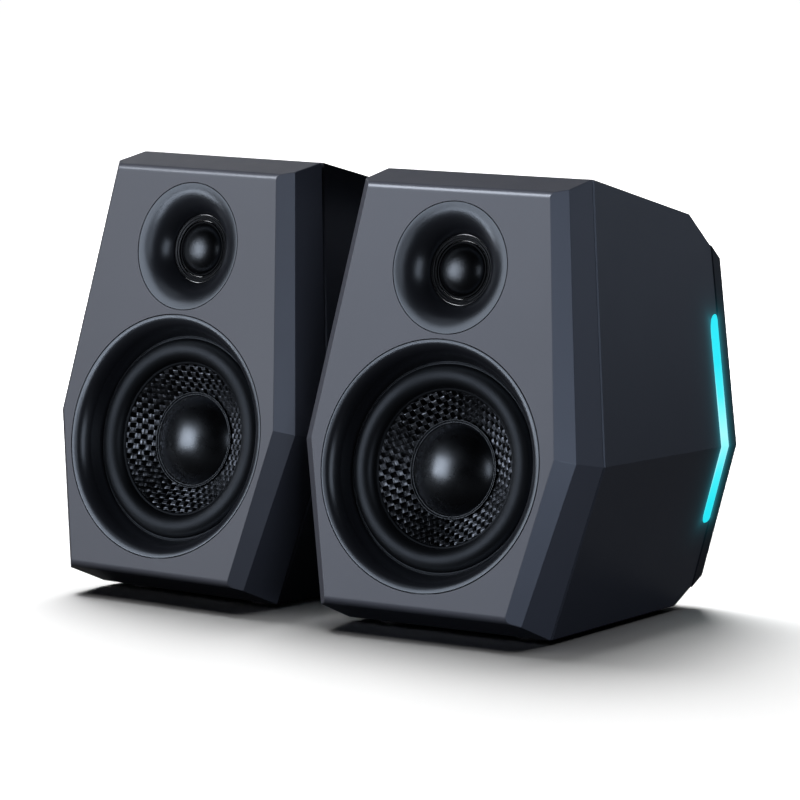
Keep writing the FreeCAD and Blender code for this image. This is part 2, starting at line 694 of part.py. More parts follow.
def audio_jacks():
    """Two 3.5 mm sockets, each with a threaded-look collar that passes through the panel."""
    back = PANEL_Y + 1.2
    made = []
    for x in AUDIO_JACK_X:
        body = box(x - 4.5, x + 4.5, 111.0, PANEL_Y - PANEL_FLOOR - 0.1, BOARD_TOP + 0.05, SOCKET_Z + 4.5)
        collar = along_y(4.0, x, SOCKET_Z, 118.0, back)
        made.append(fused([body, collar]).cut(along_y(1.8, x, SOCKET_Z, 113.0, back + 1)))
    return compound(*made)


def dc_jack():
    """The supply inlet: a round socket with a centre pin."""
    back = PANEL_Y + 0.6
    x = DC_JACK_X
    body = box(x - 5.5, x + 5.5, 110.0, PANEL_Y - PANEL_FLOOR - 0.1, BOARD_TOP + 0.05, SOCKET_Z + 5.5)
    collar = along_y(5.0, x, SOCKET_Z, 118.0, back)
    shell = fused([body, collar]).cut(along_y(3.1, x, SOCKET_Z, 113.0, back + 1))
    pin = along_y(1.0, x, SOCKET_Z, 112.9, back - 1.2)
    return fused([shell, pin])


def stadium(half_width, radius, y0, y1, x, z):
    return fused([box(x - half_width + radius, x + half_width - radius, y0, y1, z - radius, z + radius),
                  along_y(radius, x - half_width + radius, z, y0, y1),
                  along_y(radius, x + half_width - radius, z, y0, y1)])


def usb_socket():
    """A small oval data socket with its contact tongue."""
    back = PANEL_Y + 0.3
    x = USB_X
    base = box(x - 4.4, x + 4.4, 116.0, PANEL_Y - PANEL_FLOOR - 0.1, BOARD_TOP + 0.05, SOCKET_Z + 0.5)
    shell = stadium(4.6, 1.75, 116.0, back, x, SOCKET_Z)
    hollow = stadium(4.25, 1.4, 117.5, back + 1, x, SOCKET_Z)
    tongue = box(x - 3.3, x + 3.3, 117.4, back - 1.0, SOCKET_Z - 0.35, SOCKET_Z + 0.35)
    return fused([fused([shell, base]).cut(hollow), tongue])


def link_socket(x, active):
    """The round five-hole socket for the lead between the two speakers."""
    back = PANEL_Y + 0.6
    floor = BOARD_TOP + 0.05 if active else SOCKET_Z - 5.8
    body = box(x - 5.8, x + 5.8, 114.0, PANEL_Y - PANEL_FLOOR - 0.1, floor, SOCKET_Z + 5.8)
    collar = along_y(5.6, x, SOCKET_Z, 120.0, back)
    socket = fused([body, collar]).cut(along_y(4.7, x, SOCKET_Z, 121.5, back + 1))
    core = along_y(3.6, x, SOCKET_Z, 121.4, back - 0.8)
    contacts = [along_y(0.45, x + 2.2 * cos(a), SOCKET_Z + 2.2 * sin(a), 123.0, back)
                for a in (radians(d) for d in (0, 45, 90, 135, 180))]
    return fused([socket, core]).cut(compound(*contacts))


def volume_encoder():
    """The rotary control's body behind the panel and its flatted shaft."""
    z, back = KNOB_Z, PANEL_Y - PANEL_FLOOR
    body = box(-5.5, 5.5, back - 7.8, back - 0.05, z - 6, z + 6)
    nose = along_y(3.2, 0, z, back - 1.3, PANEL_Y + 1.2)
    return fused([body, nose]).cut(along_y(SHAFT_R + 0.06, 0, z, back - 10, PANEL_Y + 2))


def volume_knob():
    """The knob with its finger ribs and a pointer line, on the encoder's shaft."""
    z = KNOB_Z
    depth = 9.0
    y0 = PANEL_Y + 1.0
    knob = turned((0, 0), (KNOB_R - 0.4, 0), (KNOB_R, 0.4), (KNOB_R, depth - 1.4),
                  ((KNOB_R, depth - 0.5), (KNOB_R - 0.6, depth), (KNOB_R - 1.5, depth)), (KNOB_R - 2.4, depth),
                  (KNOB_R - 2.8, depth - 0.5), (0, depth - 0.5))
    knob = moved(knob, V(0, y0, z))
    ribs = 36
    grooves = [along_y(0.35, (KNOB_R + 0.12) * cos(2 * pi * i / ribs), z + (KNOB_R + 0.12) * sin(2 * pi * i / ribs),
                       y0 + 0.8, y0 + depth - 1.6) for i in range(ribs)]
    knob = knob.cut(compound(*grooves))
    pointer = box(-0.5, 0.5, y0 + depth - 1.0, y0 + depth + 1, z + 2.5, z + KNOB_R - 3.2)
    nose_room = along_y(3.9, 0, z, y0 - 1, y0 + 1.5)
    shaft = along_y(SHAFT_R, 0, z, PANEL_Y - PANEL_FLOOR - 8.4, y0 + 3.0)
    return fused([knob.cut(pointer).cut(nose_room), shaft])


def panel_button(x):
    """A round push button with a dished cap, and the stem that works its switch."""
    z = KNOB_Z
    top = PANEL_FLOOR + 1.8
    cap = turned((0, -0.9), (BUTTON_R + 0.9, -0.9), (BUTTON_R + 0.9, -0.3), (BUTTON_R, -0.3), (BUTTON_R, top - 0.8),
                 ((BUTTON_R, top - 0.3), (BUTTON_R - 0.3, top), (BUTTON_R - 0.8, top)),
                 ((BUTTON_R - 1.6, top), (1.4, top - 0.4), (0, top - 0.4)))
    return moved(cap, V(x, PANEL_Y - PANEL_FLOOR, z))


def control_board():
    """The board behind the panel, with a push switch under each button."""
    y1 = PANEL_Y - PANEL_FLOOR - 7.8
    board = box(-29, 29, y1 - 1.6, y1, KNOB_Z - 9, KNOB_Z + 9)
    board = board.cut(along_y(2.8, 0, KNOB_Z, y1 - 5, y1 + 5))
    switches = []
    for x in (-BUTTON_X, BUTTON_X):
        switches.append(box(x - 3, x + 3, y1, y1 + 3.5, KNOB_Z - 3, KNOB_Z + 3))
        switches.append(along_y(1.6, x, KNOB_Z, y1 + 3.5, y1 + 6.0))
    return fused([board] + switches)


def active_panel_holes():
    holes = [along_y(4.15, x, SOCKET_Z, 100, 150) for x in AUDIO_JACK_X]
    holes.append(along_y(5.15, DC_JACK_X, SOCKET_Z, 100, 150))
    holes.append(along_y(5.75, LINK_X, SOCKET_Z, 100, 150))
    holes.append(stadium(4.75, 1.9, 100, 150, USB_X, SOCKET_Z))
    holes.append(along_y(3.35, 0, KNOB_Z, 100, 150))
    for x in (-BUTTON_X, BUTTON_X):
        holes.append(along_y(BUTTON_R + 0.3, x, KNOB_Z, 100, 150))
    return holes


def passive_panel_holes():
    return [along_y(5.75, 0, SOCKET_Z, 100, 150)]


# ================================================================ putting it together
COMMON_PIECES = {
    "front_bezel": front_bezel,
    "housing": housing,
    "light_bars": light_bars,
    "led_strips": led_strips,
    "port_tube": port_tube,
    "feet": feet,
    "cover_screws": cover_screws,
    "driver_screws": driver_screws,
    "woofer_trim_ring": trim_ring,
    "woofer_basket": woofer_basket,
    "woofer_surround": woofer_surround,
    "woofer_cone": woofer_cone,
    "woofer_dust_cap": woofer_dust_cap,
    "woofer_voice_coil": woofer_voice_coil,
    "woofer_spider": woofer_spider,
    "woofer_top_plate": woofer_top_plate,
    "woofer_magnet": woofer_magnet,
    "woofer_yoke": woofer_yoke,
    "tweeter_horn": tweeter_horn,
    "tweeter_ring": tweeter_ring,
    "tweeter_dome": tweeter_dome,
    "tweeter_voice_coil": tweeter_voice_coil,
    "tweeter_motor": tweeter_motor,
}


def right_pieces():
    pieces = {name: make() for name, make in COMMON_PIECES.items()}
    pieces["rear_cover"] = rear_cover(True)
    pieces["amplifier_board"] = amplifier_board()
    pieces["heat_sink"] = heat_sink()
    pieces["audio_jacks"] = audio_jacks()
    pieces["dc_jack"] = dc_jack()
    pieces["usb_socket"] = usb_socket()
    pieces["link_socket"] = link_socket(LINK_X, True)
    pieces["volume_encoder"] = volume_encoder()
    pieces["volume_knob"] = volume_knob()
    pieces["source_button"] = panel_button(-BUTTON_X)
    pieces["light_button"] = panel_button(BUTTON_X)
    pieces["control_board"] = control_board()
    return pieces


def left_pieces(shared):
    pieces = {name: shared[name].copy() for name in COMMON_PIECES}
    pieces["rear_cover"] = rear_cover(False)
    pieces["link_socket"] = link_socket(0, False)
    return pieces


def left_placement():
    """The left cabinet's place relative to the right one's."""
    return FreeCAD.Placement(V(LEFT_ACROSS, LEFT_BACK, 0), FreeCAD.Rotation(V(0, 0, 1), LEFT_TURN))


def main():
    os.makedirs("parts", exist_ok=True)
    right = right_pieces()
    left = left_pieces(right)
    for shape in left.values():
        shape.Placement = left_placement().multiply(shape.Placement)
    pair = {"right_" + name: shape for name, shape in right.items()}
    pair.update({"left_" + name: shape for name, shape in left.items()})
    bounds = FreeCAD.BoundBox()
    for shape in pair.values():
        bounds.add(shape.optimalBoundingBox(False, False))
    centre = V((bounds.XMin + bounds.XMax) / 2, (bounds.YMin + bounds.YMax) / 2, 0)
    for name, shape in pair.items():
        shape.translate(-centre)
        problem = "" if shape.isValid() and shape.Volume > 0 and shape.Solids else "  PROBLEM"
        print(f"{name:28s} solids {len(shape.Solids):2d}  volume {shape.Volume:10.1f} mm3{problem}")
        shape.exportStep(os.path.join("parts", name + ".step"))
    print("right cabinet frame at", -centre)
    print("left cabinet frame at", left_placement().Base - centre)
    print("size", bounds.XLength, bounds.YLength, bounds.ZLength, "lowest", bounds.ZMin)
    return centre


if __name__ == "__main__":
    main()
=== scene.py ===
"""The looks of a pair of faceted desktop speakers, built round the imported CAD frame.

Sizes are millimetres and are turned into metres where a mesh is made. Three frames are used:
  driver frame   x across, y into the cabinet along the driver's axis, z up the baffle, with y = 0 on the
                 baffle's face
  cabinet frame  x across, y to the back, z up from the desk; the woofer's axis meets the baffle at x = y = 0
  row frame      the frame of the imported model
"""
import json
from math import atan2, cos, floor, hypot, pi, radians, sin

import bmesh
import bpy
from mathutils import Matrix, Vector

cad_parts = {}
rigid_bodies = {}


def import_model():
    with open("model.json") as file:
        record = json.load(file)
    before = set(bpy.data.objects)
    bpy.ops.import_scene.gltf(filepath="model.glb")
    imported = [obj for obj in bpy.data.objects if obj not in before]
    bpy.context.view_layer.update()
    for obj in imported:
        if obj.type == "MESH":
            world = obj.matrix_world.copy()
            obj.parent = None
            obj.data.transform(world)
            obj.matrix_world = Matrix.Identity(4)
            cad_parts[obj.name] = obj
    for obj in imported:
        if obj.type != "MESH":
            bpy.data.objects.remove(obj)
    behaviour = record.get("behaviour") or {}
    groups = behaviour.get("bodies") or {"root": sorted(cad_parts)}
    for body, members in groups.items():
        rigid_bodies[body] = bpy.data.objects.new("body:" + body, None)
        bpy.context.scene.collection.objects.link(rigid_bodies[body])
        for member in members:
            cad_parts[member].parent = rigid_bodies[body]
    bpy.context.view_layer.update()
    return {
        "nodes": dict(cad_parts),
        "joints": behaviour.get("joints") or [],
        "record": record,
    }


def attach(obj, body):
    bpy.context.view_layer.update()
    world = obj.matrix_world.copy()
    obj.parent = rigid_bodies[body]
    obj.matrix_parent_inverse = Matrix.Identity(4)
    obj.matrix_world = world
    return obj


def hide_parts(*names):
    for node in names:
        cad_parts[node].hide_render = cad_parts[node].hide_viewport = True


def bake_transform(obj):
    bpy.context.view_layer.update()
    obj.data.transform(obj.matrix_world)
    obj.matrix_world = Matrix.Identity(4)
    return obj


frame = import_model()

MM = 0.001
SIDES = ("right", "left")

# ---------------------------------------------------------------- the cabinet, as the CAD has it
BAFFLE_LEAN = radians(10.0)
WOOFER_Z = 64.3
TWEETER_ABOVE_WOOFER = 73.2
TRIM_R, TRIM_CREASE_R, TRIM_THROAT_R, TRIM_DEPTH = 46.75, 41.4, 39.5, 10.2
TRIM_CREASE_DEPTH = 5.4
HORN_R, HORN_THROAT_R, HORN_DEPTH = 24.45, 13.2, 8.2
CONE_R, CONE_FRONT, CONE_NECK_R, CONE_NECK_DEPTH = 29.5, 10.9, 12.8, 21.3
CAP_RIM_R, CAP_R, CAP_RIM_DEPTH, CAP_HEIGHT = 18.5, 17.3, 17.25, 6.2
DOME_R, DOME_BASE, DOME_HEIGHT = 9.6, 9.0, 4.2
RING_R_IN, RING_R_OUT, RING_SLOPE = 10.9, 13.0, 0.25
SKIN = 0.5
WALL = 2.6
SPIDER_R_IN, SPIDER_WAVES_END, SPIDER_R_OUT, SPIDER_DEPTH = 12.9, 26.6, 30.0, 24.65
SPIDER_WAVES, SPIDER_RISE, SPIDER_HALF_THICK = 4, 0.45, 0.2
BASKET_FRONT = 11.0
FOOT_PLACE = Vector((30.0, 28.0, 0.0))

# ---------------------------------------------------------------- the light bars, seen from the side
BAR_Y, BAR_LEAN = 121.55, 0.035
BAR_HALF_WIDTH = 3.1
BAR_MIDDLE, BAR_HALF_LENGTH = 9.5, 38.0
BAR_RIDGE = 4.0
FLANK_INSIDE, FLANK_OUTSIDE = 44.0, 51.0

# ---------------------------------------------------------------- the woven cone
TOW_PITCH = 2.0
TOW_TURN = {"right": radians(27.0), "left": 0.0}
TOW_WAVE = 0.12
TOW_CROWN = 0.30
CLOTH_SINK = 0.2
# power that sharpens the painted glint on the cone's tows
PAINTED_GLINT_POWER = 2.2
WEAVE_R_IN = 17.6
WEAVE_R_OUT = 29.0

record = frame["record"]
mounts = {mount["name"]: mount for mount in record["mounts"]}
joints = {joint["name"]: joint for joint in frame["joints"]}


# ================================================================ frames
def cabinet_frame(side):
    """The cabinet frame of one speaker, in the row frame: millimetres in, metres out."""
    axis = joints[side + "_woofer_travel"]["axis"]
    turn = Matrix.Rotation(atan2(axis[0], -axis[1]), 4, "Z")
    foot = Vector(mounts["feet_rest" if side == "right" else "left_feet_rest"]["pos_m"])
    base = foot - turn @ (FOOT_PLACE * MM)
    return Matrix.Translation(base) @ turn @ Matrix.Scale(MM, 4)


def driver_frame(side, up):
    place = Matrix.Translation((0, 0, WOOFER_Z)) @ Matrix.Rotation(-BAFFLE_LEAN, 4, "X")
    return cabinet_frame(side) @ place @ Matrix.Translation((0, 0, up))


WOOFER_AT = 0.0
TWEETER_AT = TWEETER_ABOVE_WOOFER


# ================================================================ mesh helpers
def new_object(name, bm, matrix, material, body):
    """A smooth mesh object in metres, with matrix's place and turn. It rides on a body if one is given."""
    bmesh.ops.recalc_face_normals(bm, faces=bm.faces)
    bm.transform(Matrix.Scale(MM, 4))
    mesh = bpy.data.meshes.new(name)
    bm.to_mesh(mesh)
    bm.free()
    mesh.materials.append(material)
    for polygon in mesh.polygons:
        polygon.use_smooth = True
    obj = bpy.data.objects.new(name, mesh)
    bpy.context.scene.collection.objects.link(obj)
    obj.matrix_world = matrix @ Matrix.Scale(1 / MM, 4)
    if body:
        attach(obj, body)
    return obj


def bezier(points, steps):
    """Points along a cubic curve, its first point left out."""
    a, b, c, d = (Vector(p) for p in points)
    out = []
    for i in range(1, steps + 1):
        t = i / steps
        out.append(tuple(a * (1 - t) ** 3 + b * 3 * t * (1 - t) ** 2 + c * 3 * t * t * (1 - t) + d * t ** 3))
    return out


def profile_points(profile, steps=14):
    """Turns a profile of points and curves, as (radius, depth), into a list of points.
    A tuple of three points is a cubic curve that ends at the last of them."""
    points = [profile[0]]
    for step in profile[1:]:
        if isinstance(step[0], tuple):
            points += bezier((points[-1],) + step, steps)
        else:
            points.append(step)
    return points


def circle(bm, radius, depth, segments):
    """A ring of points round the driver's axis."""
    angles = [2 * pi * i / segments for i in range(segments)]
    return [bm.verts.new((radius * cos(angle), depth, radius * sin(angle))) for angle in angles]


def lathe(profile, segments=128, steps=14):
    """A surface of revolution about the driver's axis. Points on the axis become one point."""
    points = profile_points(profile, steps)
    bm = bmesh.new()
    rings = []
    for radius, depth in points:
        if radius < 1e-6:
            rings.append([bm.verts.new((0, depth, 0))])
            continue
        rings.append(circle(bm, radius, depth, segments))
    pairs = list(zip(rings, rings[1:]))
    if len(rings[0]) > 1 and len(rings[-1]) > 1:
        pairs.append((rings[-1], rings[0]))
    for a, b in pairs:
        for i in range(segments):
            j = (i + 1) % segments
            if len(a) == 1:
                bm.faces.new((a[0], b[i], b[j]))
            elif len(b) == 1:
                bm.faces.new((a[i], b[0], a[j]))
            else:
                bm.faces.new((a[i], b[i], b[j], a[j]))
    return bm


def sharp_by_angle(obj, degrees=35.0):
    """Marks edges sharper than an angle, then weights the normals so that flat faces stay flat."""
    bm = bmesh.new()
    bm.from_mesh(obj.data)
    for edge in bm.edges:
        if len(edge.link_faces) == 2:
            edge.smooth = edge.calc_face_angle(0.0) < radians(degrees)
    bm.to_mesh(obj.data)
    bm.free()
    modifier = obj.modifiers.new("weighted", "WEIGHTED_NORMAL")
    modifier.keep_sharp = True
    return obj


def cone_depth(radius):
    share = (CONE_R - radius) / (CONE_R - CONE_NECK_R)
    return CONE_FRONT + share * (CONE_NECK_DEPTH - CONE_FRONT)


# ================================================================ materials
class Nodes:
    """A short way to write a node tree."""

    def __init__(self, name, material=None):
        self.material = material or bpy.data.materials.new(name)
        self.material.use_nodes = True
        self.tree = self.material.node_tree
        self.bsdf = next(n for n in self.tree.nodes if n.type == "BSDF_PRINCIPLED")

    def add(self, kind, inputs=None, **settings):
        node = self.tree.nodes.new(kind)
        for key, value in settings.items():
            setattr(node, key, value)
        for key, value in (inputs or {}).items():
            if isinstance(value, bpy.types.NodeSocket):
                self.tree.links.new(value, node.inputs[key])
            else:
                node.inputs[key].default_value = value
        return node

    def link(self, output, name):
        self.tree.links.new(output, self.bsdf.inputs[name])

    def set(self, **values):
        for key, value in values.items():
            self.bsdf.inputs[key.replace("_", " ")].default_value = value

    def coordinates(self, scale=(1, 1, 1)):
        place = self.add("ShaderNodeTexCoord")
        return self.add("ShaderNodeMapping", {"Vector": place.outputs["Object"], "Scale": scale})

    def noise(self, scale, detail=3.0, roughness=0.5, vector=None):
        vector = vector or self.coordinates().outputs[0]
        return self.add("ShaderNodeTexNoise", {"Vector": vector, "Scale": scale, "Detail": detail,
                                               "Roughness": roughness})

    def ramp(self, fac, *stops):
        node = self.add("ShaderNodeValToRGB", {"Fac": fac})
        node.color_ramp.elements[0].position, node.color_ramp.elements[0].color = stops[0]
        node.color_ramp.elements[1].position, node.color_ramp.elements[1].color = stops[-1]
        for position, color in stops[1:-1]:
            node.color_ramp.elements.new(position).color = color
        return node

    def bump(self, height, strength, distance):
        return self.add("ShaderNodeBump", {"Height": height, "Strength": strength, "Distance": distance})

    def math(self, operation, *values):
        node = self.add("ShaderNodeMath", operation=operation)
        for i, value in enumerate(values):
            if isinstance(value, bpy.types.NodeSocket):
                self.tree.links.new(value, node.inputs[i])
            else:
                node.inputs[i].default_value = value
        return node.outputs[0]


COOL = (0.78, 0.86, 1.0, 1.0)


def grey(value):
    return (value, value, value, 1.0)


def shade(color, factor):
    return tuple(min(1.0, c * factor) for c in color) + (1.0,)


def moulded_plastic(name, color, roughness, grain=1.0, specular=0.5):
    """Spark-textured plastic: a fine grain, faint mottling and slightly uneven gloss."""
    n = Nodes(name)
    cloud = n.noise(22.0, 4.0)
    tint = n.ramp(cloud.outputs["Fac"], (0.35, shade(color, 0.97)), (0.65, shade(color, 1.03)))
    n.link(tint.outputs["Color"], "Base Color")
    fine = n.noise(5200.0, 2.0, 0.6)
    broad = n.noise(90.0, 3.0)
    gloss = n.ramp(broad.outputs["Fac"], (0.3, grey(roughness - 0.012)), (0.7, grey(roughness + 0.012)))
    n.link(gloss.outputs["Color"], "Roughness")
    n.link(n.bump(fine.outputs["Fac"], 0.10 * grain, 0.00006).outputs["Normal"], "Normal")
    n.set(Specular_IOR_Level=specular, Specular_Tint=COOL)
    return n.material


def polished_plastic(name, color, roughness, ior):
    """Smooth glossy plastic with a slight haze and a slight ripple."""
    n = Nodes(name)
    haze = n.noise(140.0, 4.0)
    gloss = n.ramp(haze.outputs["Fac"], (0.3, grey(roughness * 0.85)), (0.75, grey(roughness * 1.2)))
    tint = n.ramp(haze.outputs["Fac"], (0.3, shade(color, 0.9)), (0.7, shade(color, 1.0)))
    n.link(tint.outputs["Color"], "Base Color")
    n.link(gloss.outputs["Color"], "Roughness")
    ripple = n.noise(60.0, 2.0)
    n.link(n.bump(ripple.outputs["Fac"], 0.02, 0.0002).outputs["Normal"], "Normal")
    n.set(IOR=ior, Specular_Tint=COOL)
    return n.material


def rubber(name, color, roughness):
    """Matt rubber with a fine grain and a faint bloom."""
    n = Nodes(name)
    fine = n.noise(2600.0, 3.0, 0.65)
    bloom = n.noise(45.0, 4.0)
    tint = n.ramp(bloom.outputs["Fac"], (0.3, shade(color, 0.8)), (0.7, shade(color, 1.25)))
    n.link(tint.outputs["Color"], "Base Color")
    gloss = n.ramp(bloom.outputs["Fac"], (0.3, grey(roughness - 0.05)), (0.7, grey(roughness + 0.05)))
    n.link(gloss.outputs["Color"], "Roughness")
    n.link(n.bump(fine.outputs["Fac"], 0.25, 0.00008).outputs["Normal"], "Normal")
    n.set(Specular_Tint=COOL)
    return n.material


def metal(name, color, roughness, brushed=0.0):
    """Metal with fine streaks, which lie along one axis where it is brushed."""
    n = Nodes(name)
    scale = (1, 1, 1) if not brushed else (1, 40, 1)
    streak = n.noise(300.0, 4.0, 0.6, n.coordinates(scale).outputs[0])
    tint = n.ramp(streak.outputs["Fac"], (0.3, shade(color, 0.85)), (0.7, shade(color, 1.0)))
    gloss = n.ramp(streak.outputs["Fac"], (0.3, grey(roughness * 0.8)), (0.7, grey(roughness * 1.25)))
    n.link(tint.outputs["Color"], "Base Color")
    n.link(gloss.outputs["Color"], "Roughness")
    n.link(n.bump(streak.outputs["Fac"], 0.05 + brushed * 0.1, 0.00005).outputs["Normal"], "Normal")
    n.set(Metallic=1.0)
    return n.material


def cloth(name, color, threads, roughness=0.7, relief=0.3):
    """Fine woven cloth, such as a soft dome or a spider."""
    n = Nodes(name)
    place = n.coordinates((threads, threads, threads)).outputs[0]
    over = n.add("ShaderNodeTexWave", {"Vector": place, "Scale": 1.0}, bands_direction="X")
    under = n.add("ShaderNodeTexWave", {"Vector": place, "Scale": 1.0}, bands_direction="Z")
    weave = n.math("MULTIPLY", over.outputs["Fac"], under.outputs["Fac"])
    tint = n.ramp(weave, (0.0, shade(color, 0.55)), (1.0, shade(color, 1.3)))
    n.link(tint.outputs["Color"], "Base Color")
    n.link(n.bump(weave, relief, 0.0001).outputs["Normal"], "Normal")
    n.set(Roughness=roughness, Specular_Tint=COOL)
    return n.material


def woven_fibre(name):
    """Resin-coated fibre cloth, its tows along the object's own x and z. Its base colour carries a painted
    glint: a fibre shines only across its own length, so the tows are painted bright where they run round a
    cone and near black where they run in towards the cap. The tows themselves are in the mesh."""
    n = Nodes(name)
    place = n.coordinates().outputs[0]
    pitch = TOW_PITCH * MM
    flat = n.add("ShaderNodeMapping", {"Vector": place, "Location": (0, 0.5, 0), "Scale": (1, 0, 1)})
    checks = n.add("ShaderNodeTexChecker", {"Vector": flat.outputs[0], "Scale": 1 / pitch}).outputs["Fac"]
    axes = n.add("ShaderNodeSeparateXYZ", {"Vector": place}).outputs
    x_squared = n.math("MULTIPLY", axes["X"], axes["X"])
    z_squared = n.math("MULTIPLY", axes["Z"], axes["Z"])
    sideways = n.math("DIVIDE", x_squared, n.math("ADD", x_squared, z_squared))
    glint_of_z_tows = n.math("POWER", sideways, PAINTED_GLINT_POWER)
    glint_of_x_tows = n.math("POWER", n.math("SUBTRACT", 1.0, sideways), PAINTED_GLINT_POWER)
    painted_glint = n.add("ShaderNodeMix", {0: checks, 2: glint_of_x_tows, 3: glint_of_z_tows}, data_type="FLOAT").outputs[0]
    wave = {"Vector": place, "Scale": 0.85 / pitch, "Distortion": 1.2, "Detail": 2.0}
    up = n.add("ShaderNodeTexWave", wave, bands_direction="X").outputs["Fac"]
    across = n.add("ShaderNodeTexWave", wave, bands_direction="Z").outputs["Fac"]
    fibres = n.add("ShaderNodeMix", {0: checks, 2: across, 3: up}, data_type="FLOAT")
    uneven = n.noise(420.0, 3.0)
    glint_colour = n.ramp(uneven.outputs["Fac"], (0.3, (0.06, 0.065, 0.075, 1)), (0.7, (0.44, 0.47, 0.54, 1)))
    # painted glint: bright tow colour where the tow runs round the cone, near black where it runs in
    color = n.add("ShaderNodeMix", {0: painted_glint, 6: (0.006, 0.006, 0.007, 1), 7: glint_colour.outputs["Color"]},
                  data_type="RGBA")
    n.link(color.outputs[2], "Base Color")
    n.link(n.bump(fibres.outputs[0], 0.5, 0.00012).outputs["Normal"], "Normal")
    n.set(Metallic=1.0, Roughness=0.34)
    return n.material


def from_bar(n, obj, side):
    """Four distances in millimetres: across from the middle line of a cabinet's light bars and past their
    ends, both as seen from the side; up from the woofer's axis; and out from the cabinet's middle plane."""
    move, turn, scale = (cabinet_frame(side).inverted() @ obj.matrix_world).decompose()
    place = n.add("ShaderNodeTexCoord").outputs["Object"]
    place = n.add("ShaderNodeMapping", {"Vector": place, "Location": move, "Rotation": turn.to_euler(),
                                        "Scale": scale}).outputs[0]
    axes = n.add("ShaderNodeSeparateXYZ", {"Vector": place}).outputs
    up = n.math("SUBTRACT", axes["Z"], WOOFER_Z)
    middle = n.math("MULTIPLY_ADD", up, BAR_LEAN, BAR_Y)
    across = n.math("ABSOLUTE", n.math("SUBTRACT", axes["Y"], middle))
    past = n.math("SUBTRACT", n.math("ABSOLUTE", n.math("SUBTRACT", up, BAR_MIDDLE)), BAR_HALF_LENGTH)
    return across, n.math("MAXIMUM", past, 0.0), up, n.math("ABSOLUTE", axes["X"])


def painted_bar_glow(material, obj, side):
    """A copy of a plastic with a painted glow: cyan emission close to the light bar stands in for the bar's
    light falling on the plastic beside it.
    """
    n = Nodes("", material.copy())
    across, past, _, out = from_bar(n, obj, side)
    beside = n.math("MAXIMUM", n.math("SUBTRACT", across, BAR_HALF_WIDTH), 0.0)
    away = n.math("SQRT", n.math("ADD", n.math("MULTIPLY", beside, beside), n.math("MULTIPLY", past, past)))
    # painted glow from the bar: cyan emission that fades away from the bar, on the outer flank only
    near_glow = n.math("MULTIPLY", n.math("EXPONENT", n.math("DIVIDE", away, -1.6)), 0.13)
    wide_glow = n.math("MULTIPLY", n.math("EXPONENT", n.math("DIVIDE", away, -4.5)), 0.05)
    flank = n.add("ShaderNodeMapRange", {"Value": out, "From Min": FLANK_INSIDE, "From Max": FLANK_OUTSIDE},
                  interpolation_type="SMOOTHSTEP")
    n.link(n.math("MULTIPLY", n.math("ADD", near_glow, wide_glow), flank.outputs["Result"]), "Emission Strength")
    n.set(Emission_Color=(0.05, 0.80, 1.0, 1.0))
    return n.material


def light_guide(name, obj, side):
    """Frosted cyan light guide: palest where it crosses the ridge, with a lighter edge."""
    n = Nodes(name)
    across, _, up, _ = from_bar(n, obj, side)
    away = n.math("ABSOLUTE", n.math("SUBTRACT", up, BAR_RIDGE))
    pale = n.math("SUBTRACT", 1.0, n.math("MINIMUM", n.math("DIVIDE", away, 27.0), 1.0))
    soft = n.noise(160.0, 3.0)
    mixed = n.math("ADD", n.math("MULTIPLY", pale, 0.9), n.math("MULTIPLY", soft.outputs["Fac"], 0.08))
    edge = n.add("ShaderNodeMapRange", {"Value": across, "From Min": BAR_HALF_WIDTH - 0.8,
                                        "From Max": BAR_HALF_WIDTH - 0.1, "To Max": 0.4})
    mixed = n.math("ADD", mixed, edge.outputs["Result"])
    tint = n.ramp(mixed, (0.0, (0.010, 0.72, 0.82, 1)), (0.45, (0.06, 0.80, 0.87, 1)),
                  (1.0, (0.36, 0.90, 0.94, 1)))
    n.link(tint.outputs["Color"], "Base Color")
    n.link(tint.outputs["Color"], "Emission Color")
    n.set(Emission_Strength=0.97, Roughness=0.35)
    return n.material


MATERIALS = {
    "shell_plastic": moulded_plastic("shell_plastic", (0.050, 0.053, 0.066), 0.34),
    "cover_plastic": moulded_plastic("cover_plastic", (0.022, 0.023, 0.029), 0.5),
    # the trim rings' and horns' plastic: the shell's plastic darkened to near black, painted shade for the
    # insides of their recesses
    "trim_plastic": moulded_plastic("trim_plastic", (0.006, 0.0064, 0.0085), 0.29, 0.6),
    "board": moulded_plastic("board", (0.012, 0.075, 0.035), 0.35),
    "foot_rubber": rubber("foot_rubber", (0.018, 0.018, 0.020), 0.75),
    "black_steel": metal("black_steel", (0.09, 0.09, 0.095), 0.38),
    "painted_steel": moulded_plastic("painted_steel", (0.015, 0.015, 0.017), 0.4),
    "surround_rubber": rubber("surround_rubber", (0.0030, 0.0032, 0.0040), 0.48),
    "woven_cone": woven_fibre("woven_cone"),
    "gloss_black": polished_plastic("gloss_black", (0.0008, 0.0008, 0.0011), 0.28, 1.6),
    "coil_metal": metal("coil_metal", (0.75, 0.42, 0.22), 0.3),
    "spider_cloth": cloth("spider_cloth", (0.42, 0.28, 0.09), 900.0),
    "zinc_steel": metal("zinc_steel", (0.62, 0.63, 0.66), 0.3, 1.0),
    "ferrite": moulded_plastic("ferrite", (0.045, 0.045, 0.048), 0.6),
    "ring_metal": metal("ring_metal", (0.034, 0.035, 0.038), 0.34),
    "dome_fabric": cloth("dome_fabric", (0.0012, 0.0012, 0.0016), 2600.0, 0.30, 0.10),
    "dome_roll": moulded_plastic("dome_roll", (0.0040, 0.0042, 0.0050), 0.50, 1.0, 0.06),
    "heat_sink_metal": metal("heat_sink_metal", (0.7, 0.7, 0.72), 0.35, 1.0),
    "socket_plastic": moulded_plastic("socket_plastic", (0.012, 0.012, 0.013), 0.35, 0.5),
    "socket_metal": metal("socket_metal", (0.7, 0.7, 0.68), 0.25),
    "knob_plastic": moulded_plastic("knob_plastic", (0.020, 0.021, 0.025), 0.38, 0.6),
}


